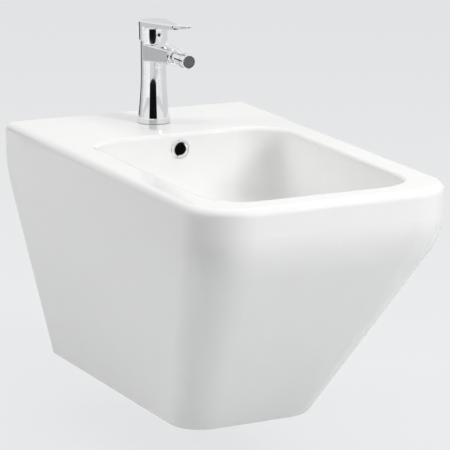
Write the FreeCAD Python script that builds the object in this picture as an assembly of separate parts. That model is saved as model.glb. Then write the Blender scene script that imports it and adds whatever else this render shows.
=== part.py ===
import FreeCAD
import Part
import math
import os

os.makedirs("parts", exist_ok=True)

# Wall-hung bidet with its mixer tap, click-clack waste and bottle trap, in millimetres.
# Origin: midway between the two wall fixing holes, on the wall face.
# +X is right as seen from the front, +Y runs into the wall, +Z is up.

# Ceramic body
rim_width = 350.0
front_width = 326.0
body_depth = 580.0
body_height = 323.0
front_corner_radius = 63.0
band_height = 60.0
bend_reach = 26.0
foot_width = 228.0
foot_front_width = 184.0
foot_depth = 372.0
foot_corner_radius = 44.0
rim_edge_radius = 10.0
foot_edge_radius = 6.0
ceramic_wall = 11.0
front_wall = 14.0
deck_thickness = 18.0
back_plate = 14.0

# Basin
basin_rear = 162.0
basin_front_rim = 36.8
basin_rear_width = 266.0
basin_front_width = 250.0
basin_corner_radius = 50.0
basin_floor_corner_radius = 40.0
basin_depth = 135.0
basin_floor_radius = 58.0
basin_front_floor_radius = 86.0
basin_wall_lean = 5.0
basin_front_lean = 26.0
basin_edge_radius = 5.5

# Wall fixing
fixing_spacing = 180.0
fixing_drop = 80.0
fixing_stud_hole = 13.0
sleeve_wall = 5.0
sleeve_head_radius = 18.0
sleeve_head_thickness = 4.0
fixing_washer_radius = 17.0
fixing_washer_thickness = 2.5
fixing_nut_width = 18.0
fixing_nut_height = 10.0
service_window_width = 120.0
service_window_top = 128.0
service_window_margin = 16.0
service_window_corner = 16.0

# Overflow
overflow_drop = 21.0
overflow_ring_radius = 12.8
overflow_mouth_radius = 7.6
overflow_ring_thickness = 3.0
overflow_lip_side = 1.0
overflow_lip_slope = 1.8
overflow_tube_radius = 10.2
overflow_tube_length = 9.0
duct_width = 36.0
duct_depth = 12.0
duct_wall = 8.0

# Waste
waste_from_wall = 300.0
waste_flange_radius = 31.5
waste_flange_thickness = 3.0
waste_flange_chamfer = 1.0
waste_gasket_thickness = 1.5
waste_tail_radius = 20.95
waste_tail_wall = 2.4
waste_tail_length = 56.0
waste_hole_radius = 23.0
waste_boss_wall = 11.0
waste_boss_height = 34.0
waste_mouth_radius = 26.0
waste_funnel_depth = 9.0
waste_slot_width = 8.0
waste_hub_radius = 9.5
waste_hub_drop = 26.0
waste_hub_height = 16.0
waste_rib_thickness = 3.0
waste_locknut_radius = 30.0
waste_locknut_height = 11.0
waste_lower_gasket_thickness = 4.0
waste_lower_gasket_radius = 30.5
plug_radius = 29.0
plug_thickness = 4.5
plug_edge_radius = 1.6
plug_crown_radius = 260.0
plug_retainer = 1.0
plug_lift = 2.2
plug_skirt_radius = 23.5
plug_seal_thickness = 2.6
plug_stem_radius = 3.5
plug_stem_length = 34.0
latch_wall = 2.2

# Bottle trap
trap_inlet_radius = 16.0
trap_tube_wall = 1.8
trap_flange_thickness = 3.0
trap_seal_thickness = 2.5
trap_nut_wall = 4.5
trap_nut_height = 18.0
trap_nut_lip = 4.0
trap_nut_chamfer = 2.0
trap_neck_length = 8.0
trap_head_radius = 28.0
trap_head_height = 56.0
trap_wall = 2.5
trap_dip = 24.0
trap_branch_radius = 19.0
trap_branch_drop = 2.0
trap_branch_length = 24.0
trap_cup_height = 54.0
trap_cup_overlap = 13.0
trap_cup_wall = 3.0
trap_cup_bottom_radius = 10.0
outlet_radius = 16.0
outlet_wall = 1.6
outlet_insert = 16.0
outlet_past_wall = 42.0
outlet_bead_height = 1.6
outlet_bead_width = 4.0

# Tap body, heights above the deck
tap_from_wall = 80.0
tap_hole_radius = 17.0
tap_base_radius = 21.6
tap_base_height = 7.5
tap_base_step = 1.1
tap_waist_radius = 17.6
tap_waist_height = 38.0
tap_top_radius = 16.5
tap_shoulder_height = 76.0
tap_height = 107.0
tap_base_gap = 0.6
spout_top = 104.4
spout_shoulder = 103.2
spout_side_low = 80.8
spout_low = 79.4
spout_end_top = 106.8
spout_end_shoulder = 103.4
spout_end_side_low = 88.0
spout_end_low = 83.8
spout_axis_height = 94.7
spout_reach = 68.5
spout_end_half = 11.3
spout_edge_radius = 1.4
spout_bore_radius = 4.0
spout_bore_inner_height = 90.0
base_seal_radius = 20.2
base_seal_width = 2.4
base_seal_depth = 1.5
inlet_spacing = 15.0
inlet_behind_axis = 4.0
inlet_thread_radius = 4.5
inlet_thread_depth = 12.0
inlet_passage_radius = 2.2
port_spacing = 8.4
port_behind_axis = 1.5
port_radius = 1.7
stud_radius = 4.0
stud_before_axis = 9.5
stud_in_base = 13.0
stud_length = 72.0
clamp_radius = 23.5
clamp_thickness = 3.0
clamp_gasket_thickness = 2.5
clamp_slot_width = 29.0
clamp_slot_start = 3.5
clamp_nut_width = 13.0
clamp_nut_height = 16.0

# Cartridge, heights above the deck
cartridge_radius = 12.8
cartridge_wall = 1.6
cartridge_chamber_radius = 13.8
cartridge_floor = 78.0
cartridge_seal_lift = 0.6
cartridge_seal_depth = 1.2
cartridge_seal_width = 1.6
cartridge_base = 3.0
cartridge_shoulder_radius = 14.7
cartridge_shoulder_height = 2.5
cartridge_top = 99.5
cartridge_window = 9.0
fixed_disc_thickness = 3.5
moving_disc_radius = 6.6
moving_disc_thickness = 5.0
disc_gap = 0.05
disc_socket_depth = 4.2
pivot_height = 100.0
pivot_pin_radius = 1.3
carrier_top = 105.0
carrier_neck_radius = 9.0
carrier_slot_reach = 7.0
spindle_width = 7.0
spindle_top = 127.0
spindle_arm_radius = 2.3
spindle_tip_radius = 2.7
cartridge_nut_top = 106.4
cartridge_nut_key = 20.0
cartridge_nut_key_depth = 3.5

# Handle, heights above the deck
handle_radius = 18.9
handle_overhang = 0.4
handle_skirt_wall = 1.0
handle_skirt_rear = 110.6
handle_skirt_front = 106.2
handle_top = 133.4
handle_roof = 6.0
lever_root_thickness = 7.0
lever_end_thickness = 6.0
lever_plate_reach = 70.0
lever_end_half = 5.2
lever_tilt = 2.0
tongue_reach = 114.2
tongue_drop = 0.3
tongue_root_thickness = 3.2
tongue_thickness = 1.6
tongue_root_half = 4.6
tongue_end_half = 3.2
tongue_corner_radius = 2.8
tongue_rise = 2.4
tongue_under_rise = 0.8
tongue_bend = 24.0
handle_boss_radius = 7.4
handle_boss_bottom = 111.6
handle_web = 9.0
handle_screw_height = 116.2
handle_screw_radius = 2.0
handle_screw_length = 8.0
handle_plug_radius = 2.3
handle_plug_depth = 2.6
index_radius = 1.0
index_length = 6.4
index_drop = 4.85
index_depth = 2.4
lever_edge_radius = 1.6
lever_blend_radius = 6.0
lever_blend_bite = 0.3
lever_blend_overlap = 1.6
lever_blend_inset = 1.0

# Swivel nozzle, lengths along its axis from the ball centre
ball_radius = 7.0
ball_inside_spout = 0.8
socket_flange_radius = 10.6
socket_flange_thickness = 2.6
socket_flange_chamfer = 0.9
socket_thread_radius = 9.0
socket_thread_length = 10.0
socket_seal_thickness = 1.4
seat_ring_inner_radius = 4.4
seat_ring_cover = 3.5
nozzle_bore_radius = 2.8
nozzle_neck_radius = 4.4
nozzle_shell_start = 9.5
nozzle_shell_rear_radius = 5.8
nozzle_shell_radius = 8.2
nozzle_shell_taper = 4.8
nozzle_shell_end = 27.5
nozzle_thread_length = 6.0
nozzle_thread_radius = 7.4
nozzle_groove = 1.1
nozzle_groove_start = 2.2
nozzle_groove_pitch = 3.3
nozzle_groove_depth = 0.7
aerator_radius = 9.3
aerator_end = 41.8
aerator_rim = 1.3
aerator_recess = 0.9
aerator_screen_thickness = 1.2
aerator_washer_thickness = 1.6
screen_rings = 4
screen_hole_radius = 0.5
screen_pitch = 1.73

# Clearances and shared details
running_gap = 0.3
slide_gap = 0.15
thread_gap = 0.1
seat_gap = 0.05
cut_past = 5.0
trim_past = 1.0
level_tolerance = 0.01
bend_steps = 6
floor_steps = 6

rim_z = fixing_drop
foot_z = rim_z - body_height
basin_front = body_depth - basin_front_rim
floor_z = rim_z - basin_depth
boss_bottom_z = floor_z - waste_boss_height
waste_y = -waste_from_wall
tap_y = -tap_from_wall
tail_inner = waste_tail_radius - waste_tail_wall
tail_end = -waste_flange_thickness - waste_tail_length
flange_top = tail_end - trap_seal_thickness
flange_low = flange_top - trap_flange_thickness
head_top = flange_low - trap_neck_length
head_low = head_top - trap_head_height
dip_end = head_low - trap_dip
cup_top = head_low + trap_cup_overlap
cup_low = cup_top - trap_cup_height
outlet_z = floor_z + head_top - trap_branch_drop - trap_branch_radius
UP = FreeCAD.Vector(0, 0, 1)
DOWN = FreeCAD.Vector(0, 0, -1)
RIGHT = FreeCAD.Vector(1, 0, 0)
TO_WALL = FreeCAD.Vector(0, 1, 0)
TO_FRONT = FreeCAD.Vector(0, -1, 0)


def vec(x, y, z):
    return FreeCAD.Vector(x, y, z)


def mix(start, end, share):
    return start + (end - start) * share


def box_between(low, high):
    """Box from its lowest to its highest corner."""
    size = high - low
    return Part.makeBox(size.x, size.y, size.z, low)


def rod(radius, start, end):
    """Solid cylinder between two points."""
    way = end - start
    return Part.makeCylinder(radius, way.Length, start, way)


def tube(outer, inner, start, end):
    """Cylinder between two points with a bore through it."""
    way = end - start
    run = vec(way.x, way.y, way.z).normalize()
    bore = rod(inner, start - run * cut_past, end + run * cut_past)
    return rod(outer, start, end).cut(bore)


def turned(profile, base, axis):
    """Solid of revolution from (radius, distance along the axis) corners."""
    corners = [vec(radius, 0, along) for radius, along in profile]
    face = Part.Face(Part.makePolygon(corners + corners[:1]))
    solid = face.revolve(vec(0, 0, 0), UP, 360)
    solid.Placement = FreeCAD.Placement(base, FreeCAD.Rotation(UP, axis))
    return solid


def hexagon(width, start, end):
    """Hexagon bar, measured across its flats, between two points."""
    way = end - start
    corner = width / math.sqrt(3)
    turns = [math.radians(60 * step) for step in range(7)]
    ring = [vec(corner * math.cos(turn), corner * math.sin(turn), 0) for turn in turns]
    bar = Part.Face(Part.makePolygon(ring)).extrude(vec(0, 0, way.Length))
    bar.Placement = FreeCAD.Placement(start, FreeCAD.Rotation(UP, way))
    return bar


def hexagon_nut(width, bore, start, end):
    """Hexagon nut with its bore, between two points."""
    return hexagon(width, start, end).cut(rod(bore, start, end))


def rounded_outline(corners, radii, height):
    """Closed outline at one height, with an arc at each corner that has a radius."""
    starts = []
    middles = []
    ends = []
    count = len(corners)
    for index in range(count):
        here = vec(*corners[index], height)
        back_way = (vec(*corners[index - 1], height) - here).normalize()
        fore_way = (vec(*corners[(index + 1) % count], height) - here).normalize()
        half_angle = back_way.getAngle(fore_way) / 2
        reach = radii[index] / math.tan(half_angle)
        bisector = (back_way + fore_way).normalize()
        sagitta = radii[index] / math.sin(half_angle) - radii[index]
        starts.append(here + back_way * reach)
        middles.append(here + bisector * sagitta)
        ends.append(here + fore_way * reach)
    edges = []
    for index in range(count):
        if radii[index] > 0:
            edges.append(Part.Arc(starts[index], middles[index], ends[index]).toShape())
        edges.append(Part.makeLine(ends[index], starts[(index + 1) % count]))
    return Part.Wire(edges)


def save(name, *solids):
    """Write one node: a single solid, or a group of like solids."""
    shape = solids[0] if len(solids) == 1 else Part.makeCompound(list(solids))
    shape.exportStep("parts/" + name + ".step")


# Ceramic: upright band under the rim, a soft bend, then the taper to the foot.
# It is cast in two parts that are joined before firing, so the glaze runs over the join.

def taper_run(drop):
    """How far the taper has run at a depth below the rim, with a soft bend."""
    into = drop - band_height + bend_reach
    if into <= 0:
        return 0.0
    if into >= 2 * bend_reach:
        return drop - band_height
    return into ** 2 / (4 * bend_reach)


def skin_outline(drop, side_inset, front_inset, rear):
    """Plan outline of the body at a depth below the rim."""
    share = taper_run(drop) / taper_run(body_height)
    rear_half = mix(rim_width, foot_width, share) / 2 - side_inset
    front_half = mix(front_width, foot_front_width, share) / 2 - side_inset
    depth = mix(body_depth, foot_depth, share) - front_inset
    radius = mix(front_corner_radius, foot_corner_radius, share) - side_inset
    rear_x = rear_half - (rear_half - front_half) * rear / depth
    corners = [(rear_x, -rear), (-rear_x, -rear), (-front_half, -depth), (front_half, -depth)]
    return rounded_outline(corners, [0, 0, radius, radius], rim_z - drop)


def skin_solid(top_drop, bottom_drop, side_inset, front_inset, rear):
    """Stack of the upright band, the bend and the taper."""
    bend_start = band_height - bend_reach
    bend_end = band_height + bend_reach

    def outline(drop):
        return skin_outline(drop, side_inset, front_inset, rear)

    bend_drops = [mix(bend_start, bend_end, step / bend_steps) for step in range(bend_steps + 1)]
    upright = Part.makeLoft([outline(top_drop), outline(bend_start)], True, True)
    bend = Part.makeLoft([outline(drop) for drop in bend_drops], True, False)
    taper = Part.makeLoft([outline(bend_end), outline(bottom_drop)], True, True)
    return upright.fuse([bend, taper]).removeSplitter()


def basin_solid(extra):
    """The basin's hollow, grown on every side by extra to give its outer face."""
    straight = basin_depth - basin_floor_radius

    def outline(drop, lean_share, turn):
        curl = 1 - math.cos(turn)
        side_in = basin_wall_lean * lean_share + (basin_floor_radius + extra) * curl - extra
        rear_in = (basin_floor_radius + extra) * curl - extra
        front_in = basin_front_lean * lean_share + (basin_front_floor_radius + extra) * curl - extra
        radius = mix(basin_corner_radius + extra, basin_floor_corner_radius, curl)
        rear_half = basin_rear_width / 2 - side_in
        front_half = basin_front_width / 2 - side_in
        rear = -basin_rear - rear_in
        front = -basin_front + front_in
        corners = [(rear_half, rear), (-rear_half, rear), (-front_half, front), (front_half, front)]
        return rounded_outline(corners, [radius] * 4, rim_z - drop)

    turns = [math.radians(90.0 * step / floor_steps) for step in range(floor_steps + 1)]
    depths = [straight + (basin_floor_radius + extra) * math.sin(turn) for turn in turns]
    top = outline(-cut_past, -cut_past / straight, 0.0)
    upright = Part.makeLoft([top, outline(straight, 1.0, 0.0)], True, True)
    bowl = Part.makeLoft([outline(drop, 1.0, turn) for drop, turn in zip(depths, turns)], True, False)
    return upright.fuse(bowl).removeSplitter()


def edges_at(shape, height, keep):
    """Edges that lie at one height and whose middle passes a test."""
    found = []
    for edge in shape.Edges:
        level = all(abs(vertex.Z - height) < level_tolerance for vertex in edge.Vertexes)
        if level and keep(edge.CenterOfMass):
            found.append(edge)
    return found


def make_block():
    """The outside of the whole body, cut flat on the wall, with its rim and foot rounded."""
    block = skin_solid(0.0, body_height, 0.0, 0.0, -cut_past)
    behind_wall = box_between(
        vec(-rim_width, 0, foot_z - cut_past),
        vec(rim_width, 2 * cut_past, rim_z + cut_past),
    )
    block = block.cut(behind_wall)
    off_wall = back_plate / 2
    block = block.makeFillet(rim_edge_radius, edges_at(block, rim_z, lambda mid: mid.y < -off_wall))
    return block.makeFillet(foot_edge_radius, edges_at(block, foot_z, lambda mid: mid.y < -off_wall))


def under_deck():
    """All the space below the underside of the deck, where the two castings meet."""
    return box_between(
        vec(-rim_width, -2 * body_depth, foot_z - cut_past),
        vec(rim_width, body_depth, rim_z - deck_thickness),
    )


def make_shell():
    """Lower casting: the tapered skin, open underneath, and the plate that lies on the wall."""
    hollow = skin_solid(deck_thickness, body_height + cut_past, ceramic_wall, front_wall, back_plate)
    shell = make_block().common(under_deck()).cut(hollow)
    holes = []
    sleeve_hole = fixing_stud_hole / 2 + sleeve_wall + slide_gap
    for side in (-1, 1):
        x = side * fixing_spacing / 2
        holes.append(rod(sleeve_hole, vec(x, -back_plate, 0), vec(x, 0, 0)))
    half = service_window_width / 2
    top_z = rim_z - service_window_top
    low_z = outlet_z - outlet_radius - service_window_margin
    corners = [(half, low_z), (half, top_z), (-half, top_z), (-half, low_z)]
    window = Part.Face(rounded_outline(corners, [service_window_corner] * 4, 0.0))
    window = window.extrude(vec(0, 0, back_plate + 2 * cut_past))
    window.Placement = FreeCAD.Placement(vec(0, cut_past, 0), FreeCAD.Rotation(RIGHT, 90))
    holes.append(window)
    return shell.cut(holes)


def make_basin():
    """Upper casting: the deck, the bowl that hangs from it, and the overflow duct behind the bowl."""
    outer_half = duct_width / 2 + duct_wall
    duct_front = -basin_rear + ceramic_wall
    duct_rear = duct_front + duct_depth
    sill_z = floor_z - ceramic_wall
    duct_bottom_z = sill_z - duct_depth
    duct_shell = box_between(
        vec(-outer_half, duct_front - ceramic_wall, duct_bottom_z - duct_wall),
        vec(outer_half, duct_rear + duct_wall, rim_z - deck_thickness / 2),
    )
    run_shell = box_between(
        vec(-outer_half, waste_y, duct_bottom_z - duct_wall),
        vec(outer_half, duct_rear, floor_z - ceramic_wall / 2),
    )
    boss = rod(waste_hole_radius + waste_boss_wall, vec(0, waste_y, boss_bottom_z), vec(0, waste_y, floor_z))
    bowl = basin_solid(ceramic_wall).fuse([duct_shell, run_shell, boss]).common(under_deck())
    basin = make_block().cut(under_deck()).fuse(bowl).removeSplitter().cut(basin_solid(0.0))

    def on_basin_edge(mid):
        within_width = abs(mid.x) < basin_front_width / 2 + trim_past
        return within_width and -basin_front - trim_past < mid.y < -basin_rear + trim_past

    basin = basin.makeFillet(basin_edge_radius, edges_at(basin, rim_z, on_basin_edge))

    # Holes: the duct's fall and run, the overflow, the tap, and the waste with its recess
    fall = box_between(
        vec(-duct_width / 2, duct_front, duct_bottom_z),
        vec(duct_width / 2, duct_rear, rim_z - deck_thickness),
    )
    run = box_between(
        vec(-duct_width / 2, waste_y, duct_bottom_z),
        vec(duct_width / 2, duct_rear, sill_z),
    )
    overflow_z = rim_z - overflow_drop
    overflow_hole = rod(
        overflow_tube_radius + slide_gap,
        vec(0, -basin_rear - cut_past, overflow_z),
        vec(0, duct_rear, overflow_z),
    )
    tap_hole = rod(
        tap_hole_radius,
        vec(0, tap_y, rim_z - deck_thickness - cut_past),
        vec(0, tap_y, rim_z + cut_past),
    )
    recess = waste_flange_thickness + waste_gasket_thickness
    above_floor = vec(0, waste_y, floor_z + cut_past)
    waste_hole = rod(waste_hole_radius, vec(0, waste_y, boss_bottom_z - cut_past), above_floor)
    waste_recess = rod(waste_flange_radius + running_gap, vec(0, waste_y, floor_z - recess), above_floor)
    return basin.cut([fall, run, overflow_hole, tap_hole, waste_hole, waste_recess])


save("ceramic_shell", make_shell())
save("ceramic_basin", make_basin())


# Overflow ring: its tube fills the hole and its rounded lip lies on the basin's rear wall

def make_overflow_ring():
    lip = overflow_ring_thickness
    profile = [
        (overflow_mouth_radius, -overflow_tube_length),
        (overflow_tube_radius, -overflow_tube_length),
        (overflow_tube_radius, 0),
        (overflow_ring_radius, 0),
        (overflow_ring_radius, overflow_lip_side),
        (overflow_ring_radius - overflow_lip_slope, lip),
        (overflow_mouth_radius + overflow_lip_slope, lip),
        (overflow_mouth_radius, overflow_lip_side),
    ]
    return turned(profile, vec(0, -basin_rear - seat_gap, rim_z - overflow_drop), TO_FRONT)


save("overflow_ring", make_overflow_ring())


# Wall fixing: a flanged sleeve in each hole, then a washer and a nut on the wall stud

def fixing_pair(make_one):
    return [make_one(side * fixing_spacing / 2) for side in (-1, 1)]


sleeve_radius = fixing_stud_hole / 2 + sleeve_wall
sleeve_end = -back_plate - sleeve_head_thickness
washer_end = sleeve_end - fixing_washer_thickness


def make_sleeve(x):
    shank = tube(sleeve_radius, fixing_stud_hole / 2, vec(x, 0, 0), vec(x, sleeve_end, 0))
    head = tube(sleeve_head_radius, fixing_stud_hole / 2, vec(x, -back_plate, 0), vec(x, sleeve_end, 0))
    return shank.fuse(head)


def make_fixing_washer(x):
    return tube(fixing_washer_radius, fixing_stud_hole / 2, vec(x, sleeve_end, 0), vec(x, washer_end, 0))


def make_fixing_nut(x):
    end = washer_end - fixing_nut_height
    return hexagon_nut(fixing_nut_width, fixing_stud_hole / 2, vec(x, washer_end, 0), vec(x, end, 0))


save("fixing_sleeves", *fixing_pair(make_sleeve))
save("fixing_washers", *fixing_pair(make_fixing_washer))
save("fixing_nuts", *fixing_pair(make_fixing_nut))


# Waste: flanged body through the basin floor, clamped from below, with a push-open plug

floor_centre = vec(0, waste_y, floor_z)
latch_inner = plug_stem_radius + slide_gap
latch_outer = latch_inner + latch_wall
boss_end = -waste_boss_height
plug_neck_radius = plug_skirt_radius - 2 * plug_seal_thickness
plug_low = -plug_seal_thickness - plug_retainer


def at_waste(along):
    """Point on the waste axis, measured up from the basin floor."""
    return vec(0, waste_y, floor_z + along)


def make_waste_body():
    profile = [
        (waste_mouth_radius, 0),
        (waste_flange_radius - waste_flange_chamfer, 0),
        (waste_flange_radius, -waste_flange_chamfer),
        (waste_flange_radius, -waste_flange_thickness),
        (waste_tail_radius, -waste_flange_thickness),
        (waste_tail_radius, tail_end),
        (tail_inner, tail_end),
        (tail_inner, -waste_funnel_depth),
    ]
    body = turned(profile, floor_centre, UP)
    slot_top = floor_z - ceramic_wall - slide_gap
    slot_low = slot_top - duct_depth + slide_gap
    for turn in (0, 90):
        slot = box_between(
            vec(-waste_slot_width / 2, waste_y - waste_hole_radius, slot_low),
            vec(waste_slot_width / 2, waste_y + waste_hole_radius, slot_top),
        )
        slot.rotate(floor_centre, UP, turn)
        body = body.cut(slot)
    hub_top = at_waste(-waste_hub_drop)
    hub_low = at_waste(-waste_hub_drop - waste_hub_height)
    spider = rod(waste_hub_radius, hub_low, hub_top)
    for turn in (30, 150, 270):
        rib = box_between(
            vec(-waste_rib_thickness / 2, waste_y, hub_low.z),
            vec(waste_rib_thickness / 2, waste_y + tail_inner + waste_tail_wall / 2, hub_top.z),
        )
        rib.rotate(floor_centre, UP, turn)
        spider = spider.fuse(rib)
    bore = rod(latch_outer + slide_gap, at_waste(tail_end), floor_centre)
    return body.fuse(spider).cut(bore)


def make_plug():
    crown = plug_lift + plug_thickness
    profile = [
        (0, plug_low),
        (plug_neck_radius + plug_seal_thickness / 2, plug_low),
        (plug_neck_radius + plug_seal_thickness / 2, -plug_seal_thickness - seat_gap),
        (plug_neck_radius, -plug_seal_thickness - seat_gap),
        (plug_neck_radius, seat_gap),
        (plug_skirt_radius - plug_seal_thickness / 2, seat_gap),
        (plug_skirt_radius - plug_seal_thickness / 2, plug_lift),
        (plug_radius, plug_lift),
        (plug_radius, crown),
        (0, crown),
    ]
    plug = turned(profile, floor_centre, UP)
    rim = edges_at(plug, floor_z + crown, lambda mid: True)
    plug = plug.makeFillet(plug_edge_radius, rim)
    plug = plug.common(Part.makeSphere(plug_crown_radius, at_waste(crown - plug_crown_radius)))
    socket = rod(plug_stem_radius + thread_gap, at_waste(plug_low - cut_past), floor_centre)
    return plug.cut(socket)


def make_locknut():
    top = at_waste(boss_end - waste_lower_gasket_thickness)
    low = at_waste(boss_end - waste_lower_gasket_thickness - waste_locknut_height)
    return hexagon_nut(2 * waste_locknut_radius, waste_tail_radius + thread_gap, top, low)


gasket_bore = waste_tail_radius + thread_gap
save("waste_body", make_waste_body())
save("waste_plug", make_plug())
save(
    "waste_plug_seal",
    tube(plug_skirt_radius, plug_neck_radius, at_waste(-plug_seal_thickness), floor_centre),
)
save("waste_plug_stem", rod(plug_stem_radius, at_waste(-seat_gap - plug_stem_length), at_waste(-seat_gap)))


def make_latch():
    top = -waste_hub_drop
    low = top - waste_hub_height - latch_wall
    sleeve = tube(latch_outer, latch_inner, at_waste(low), at_waste(top + latch_wall))
    collar = tube(waste_hub_radius, latch_inner, at_waste(top), at_waste(top + latch_wall))
    return sleeve.fuse(collar)


save("waste_latch_sleeve", make_latch())
save(
    "waste_upper_gasket",
    tube(
        waste_flange_radius,
        gasket_bore,
        at_waste(-waste_flange_thickness - waste_gasket_thickness),
        at_waste(-waste_flange_thickness),
    ),
)
save(
    "waste_lower_gasket",
    tube(
        waste_lower_gasket_radius,
        gasket_bore,
        at_waste(boss_end - waste_lower_gasket_thickness),
        at_waste(boss_end),
    ),
)
save("waste_locknut", make_locknut())


# Bottle trap: hangs from the waste tail on its inlet nut; the cup screws onto the head from below

tube_inner = trap_inlet_radius - trap_tube_wall
head_inner = trap_head_radius - trap_wall
branch_end = waste_y + trap_head_radius + trap_branch_length
seal_outer = waste_tail_radius - slide_gap
cup_bore = trap_head_radius + thread_gap
cup_outer = cup_bore + trap_cup_wall


def make_trap_body():
    profile = [
        (tube_inner, dip_end),
        (trap_inlet_radius, dip_end),
        (trap_inlet_radius, head_top - trap_wall),
        (head_inner, head_top - trap_wall),
        (head_inner, head_low),
        (trap_head_radius, head_low),
        (trap_head_radius, head_top),
        (trap_inlet_radius, head_top),
        (trap_inlet_radius, flange_low),
        (seal_outer, flange_low),
        (seal_outer, flange_top),
        (tube_inner, flange_top),
    ]
    head = turned(profile, floor_centre, UP)
    root = vec(0, waste_y + trap_inlet_radius + trap_wall, outlet_z)
    end = vec(0, branch_end, outlet_z)
    branch = rod(trap_branch_radius, root, end)
    chamber = rod(head_inner, at_waste(head_low), at_waste(head_top - trap_wall))
    head = head.fuse(branch.cut(chamber))
    socket = rod(outlet_radius + slide_gap, vec(0, branch_end - outlet_insert, outlet_z), end)
    return head.cut(rod(outlet_radius - outlet_wall, root, end)).cut(socket)


def make_trap_cup():
    seat = head_low - trap_seal_thickness
    profile = [
        (0, cup_low),
        (cup_outer, cup_low),
        (cup_outer, cup_top),
        (cup_bore, cup_top),
        (cup_bore, seat),
        (head_inner, seat),
        (head_inner, cup_low + trap_cup_wall),
        (0, cup_low + trap_cup_wall),
    ]
    cup = turned(profile, floor_centre, UP)
    outer_edge = edges_at(cup, floor_z + cup_low, lambda mid: True)
    inner_edge = edges_at(cup, floor_z + cup_low + trap_cup_wall, lambda mid: True)
    return cup.makeFillet(trap_cup_bottom_radius, outer_edge + inner_edge)


def make_trap_nut(base, axis, grip_radius, pass_radius, stack):
    """Union nut: its lip draws a seal and a flange, of thickness stack, onto a threaded end."""
    outer = grip_radius + thread_gap + trap_nut_wall
    end = stack + trap_nut_lip
    profile = [
        (pass_radius + slide_gap, stack),
        (grip_radius + thread_gap, stack),
        (grip_radius + thread_gap, end - trap_nut_height),
        (outer, end - trap_nut_height),
        (outer, end - trap_nut_chamfer),
        (outer - trap_nut_chamfer, end),
        (pass_radius + slide_gap, end),
    ]
    return turned(profile, base, axis)


def make_outlet_pipe():
    start = vec(0, branch_end - outlet_insert, outlet_z)
    end = vec(0, outlet_past_wall, outlet_z)
    bead = rod(outlet_radius + outlet_bead_height, vec(0, -outlet_bead_width, outlet_z), vec(0, 0, outlet_z))
    bore = rod(outlet_radius - outlet_wall, start, end)
    return rod(outlet_radius, start, end).fuse(bead).cut(bore)


branch_mouth = vec(0, branch_end, outlet_z)
inlet_stack = trap_seal_thickness + trap_flange_thickness
save(
    "trap_inlet_nut",
    make_trap_nut(at_waste(tail_end), DOWN, waste_tail_radius, trap_inlet_radius, inlet_stack),
)
save("trap_inlet_seal", tube(seal_outer, tube_inner, at_waste(flange_top), at_waste(tail_end)))
save("trap_body", make_trap_body())
save("trap_cup", make_trap_cup())
save(
    "trap_cup_seal",
    tube(trap_head_radius, head_inner, at_waste(head_low - trap_seal_thickness), at_waste(head_low)),
)
save(
    "trap_outlet_nut",
    make_trap_nut(branch_mouth, TO_WALL, trap_branch_radius, outlet_radius, trap_seal_thickness),
)
save(
    "trap_outlet_seal",
    tube(
        trap_branch_radius,
        outlet_radius + seat_gap,
        branch_mouth,
        branch_mouth + TO_WALL * trap_seal_thickness,
    ),
)
save("trap_outlet_pipe", make_outlet_pipe())


# Tap body: flared column with the spout grown out of its side

chamber_low = cartridge_floor
shoulder_low = cartridge_top - cartridge_shoulder_height
ball_centre = vec(0, tap_y - spout_reach + ball_inside_spout, rim_z + spout_axis_height)
stud_y = tap_y - stud_before_axis


def on_tap(height):
    """Point on the tap's upright axis, measured up from the deck."""
    return vec(0, tap_y, rim_z + height)


def inlet_foot(side):
    return vec(side * inlet_spacing / 2, tap_y + inlet_behind_axis, rim_z + tap_base_gap)


def inlet_port(side, height):
    return vec(side * port_spacing / 2, tap_y + port_behind_axis, rim_z + height)


def spout_section(y, half, top, shoulder, side_low, low):
    """Section across the spout: upright sides between an arched top and an arched underside."""
    left_top = vec(-half, y, rim_z + shoulder)
    right_top = vec(half, y, rim_z + shoulder)
    right_low = vec(half, y, rim_z + side_low)
    left_low = vec(-half, y, rim_z + side_low)
    edges = [
        Part.Arc(left_top, vec(0, y, rim_z + top), right_top).toShape(),
        Part.makeLine(right_top, right_low),
        Part.Arc(right_low, vec(0, y, rim_z + low), left_low).toShape(),
        Part.makeLine(left_low, left_top),
    ]
    return Part.Wire(edges)


def make_spout():
    """Spout from the column's axis to its open end, with its four long corners rounded."""
    end_y = tap_y - spout_reach
    root_half = tap_top_radius - seat_gap
    root = spout_section(tap_y, root_half, spout_top, spout_shoulder, spout_side_low, spout_low)
    end = spout_section(
        end_y, spout_end_half, spout_end_top, spout_end_shoulder, spout_end_side_low, spout_end_low
    )
    spout = Part.makeLoft([root, end], True, True)
    corners = []
    for edge in spout.Edges:
        long_way = end_y + trim_past < edge.CenterOfMass.y < tap_y - trim_past
        if long_way:
            corners.append(edge)
    return spout.makeFillet(spout_edge_radius, corners)


def make_column():
    foot_axis = vec(0, 0, tap_base_gap)
    foot_rim = vec(tap_base_radius, 0, tap_base_gap)
    step_low = vec(tap_base_radius, 0, tap_base_height - tap_base_step)
    step_top = vec(tap_base_radius - tap_base_step, 0, tap_base_height)
    waist = vec(tap_waist_radius, 0, tap_waist_height)
    shoulder = vec(tap_top_radius, 0, tap_shoulder_height)
    top_rim = vec(tap_top_radius, 0, tap_height)
    top_axis = vec(0, 0, tap_height)
    edges = [
        Part.makeLine(foot_axis, foot_rim),
        Part.makeLine(foot_rim, step_low),
        Part.makeLine(step_low, step_top),
        Part.Arc(step_top, waist, shoulder).toShape(),
        Part.makeLine(shoulder, top_rim),
        Part.makeLine(top_rim, top_axis),
        Part.makeLine(top_axis, foot_axis),
    ]
    column = Part.Face(Part.Wire(edges)).revolve(vec(0, 0, 0), UP, 360)
    column.Placement = FreeCAD.Placement(on_tap(0), FreeCAD.Rotation())
    return column


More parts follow.
